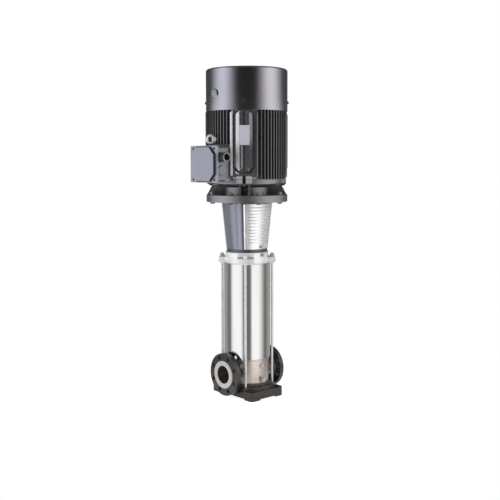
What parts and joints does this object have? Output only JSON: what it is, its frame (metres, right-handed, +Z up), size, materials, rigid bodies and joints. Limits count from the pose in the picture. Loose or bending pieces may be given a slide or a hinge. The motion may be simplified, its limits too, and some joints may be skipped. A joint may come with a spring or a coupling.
{
  "type": "vertical in-line centrifugal pump",
  "caption": "Vertical multistage in-line centrifugal pump: flanged base, steel sleeve with staybolts, stool with coupling guards and a finned flange-mounted motor.",
  "frame": {"origin": "centre of the foundation bolt pattern, on the base plate's underside", "axes": "+Z up along the shaft, +X from the pump axis to the outlet port, inlet at -X, drain plug at -Y"},
  "size_m": [0.5509, 0.4638, 1.824],
  "materials": {
    "base_iron": "black painted sand casting, satin",
    "cast_stainless": "bead-blasted investment casting",
    "collar_steel": "turned face",
    "flange_iron": "black dipped ductile iron",
    "plug_steel": "turned hexagon plug",
    "sleeve_steel": "polished rolled sheet",
    "seal_rubber": "moulded",
    "bolt_steel": "zinc plated",
    "pressed_stainless": "pressed sheet",
    "impeller_steel": "welded sheet",
    "wear_bronze": "turned",
    "shaft_steel": "ground",
    "bush_carbide": "lapped carbide ring",
    "head_casting": "bead-blasted casting",
    "cover_steel": "turned",
    "dark_plug": "oxidised",
    "stool_paint": "slate gloss paint on iron",
    "guard_sheet": "bright pressed sheet",
    "small_screw": "socket screw",
    "coupling_steel": "machined",
    "motor_black": "satin black enamel on iron",
    "bearing_steel": "ground",
    "lamination_steel": "stacked sheet",
    "winding_copper": "varnished copper",
    "fan_plastic": "moulded",
    "cowl_paint": "satin black enamel on sheet steel",
    "black_screw": "black oxide",
    "box_paint": "slate enamel on a casting",
    "cover_paint": "slate enamel on a casting",
    "board_plastic": "moulded resin",
    "gland_plastic": "moulded polyamide",
    "zinc_steel": "bright zinc on a forging"
  },
  "bodies": {
    "pump": {"base_plate": "base_iron", "pump_base": "cast_stainless", "port_collars": "collar_steel", "body_plugs": "plug_steel", "sleeve": "sleeve_steel", "sleeve_o_rings": "seal_rubber", "staybolts": "bolt_steel", "staybolt_nuts": "bolt_steel", "stool_bolts": "bolt_steel", "flange_bolts": "bolt_steel", "suction_chamber": "pressed_stainless", "top_chamber": "pressed_stainless", "stack_straps": "pressed_stainless", "stage_chamber_1": "pressed_stainless", "stage_chamber_2": "pressed_stainless", "stage_chamber_3": "pressed_stainless", "stage_chamber_4": "pressed_stainless", "stage_chamber_5": "pressed_stainless", "wear_rings": "wear_bronze", "shaft_bushes": "bush_carbide", "seal_seat": "bush_carbide", "pump_head": "head_casting", "seal_cover": "cover_steel", "vent_plug": "dark_plug", "motor_stool": "stool_paint", "coupling_guards": "guard_sheet", "guard_screws": "small_screw", "drive_end_shield": "motor_black", "motor_frame": "motor_black", "rear_end_shield": "motor_black", "motor_bearings": "bearing_steel", "stator_core": "lamination_steel", "stator_windings": "winding_copper", "fan_cowl": "cowl_paint", "cowl_plug": "cowl_paint", "cowl_screws": "black_screw", "cover_screws": "black_screw", "shield_bolts": "black_screw", "terminal_box": "box_paint", "blanking_plug": "box_paint", "terminal_box_cover": "cover_paint", "terminal_board": "board_plastic", "cable_gland": "gland_plastic", "lifting_eye": "zinc_steel"},
    "rotor": {"pump_shaft": "shaft_steel", "impeller_1": "impeller_steel", "impeller_2": "impeller_steel", "impeller_3": "impeller_steel", "impeller_4": "impeller_steel", "impeller_5": "impeller_steel", "seal_rotor": "shaft_steel", "coupling_halves": "coupling_steel", "coupling_screws": "coupling_steel", "motor_shaft": "shaft_steel", "rotor_core": "lamination_steel", "bearing_inner_rings": "bearing_steel", "cooling_fan": "fan_plastic"},
    "inlet_ring": {"inlet_flange": "flange_iron"},
    "outlet_ring": {"outlet_flange": "flange_iron"},
    "vent_spindle": {"vent_screw": "plug_steel"}
  },
  "joints": [
    {"name": "rotor_spin", "type": "hinge", "parent": "pump", "child": "rotor", "pos_m": [0, 0, 0.5], "axis": [0, 0, 1], "continuous": true},
    {"name": "inlet_ring_swivel", "type": "hinge", "parent": "pump", "child": "inlet_ring", "pos_m": [-0.16, 0, 0.131], "axis": [1, 0, 0], "continuous": true},
    {"name": "outlet_ring_swivel", "type": "hinge", "parent": "pump", "child": "outlet_ring", "pos_m": [0.16, 0, 0.131], "axis": [1, 0, 0], "continuous": true},
    {"name": "vent_turn", "type": "hinge", "parent": "pump", "child": "vent_spindle", "pos_m": [0, -0.13, 0.795], "axis": [0, -1, 0], "range_deg": [0, 360]}
  ]
}
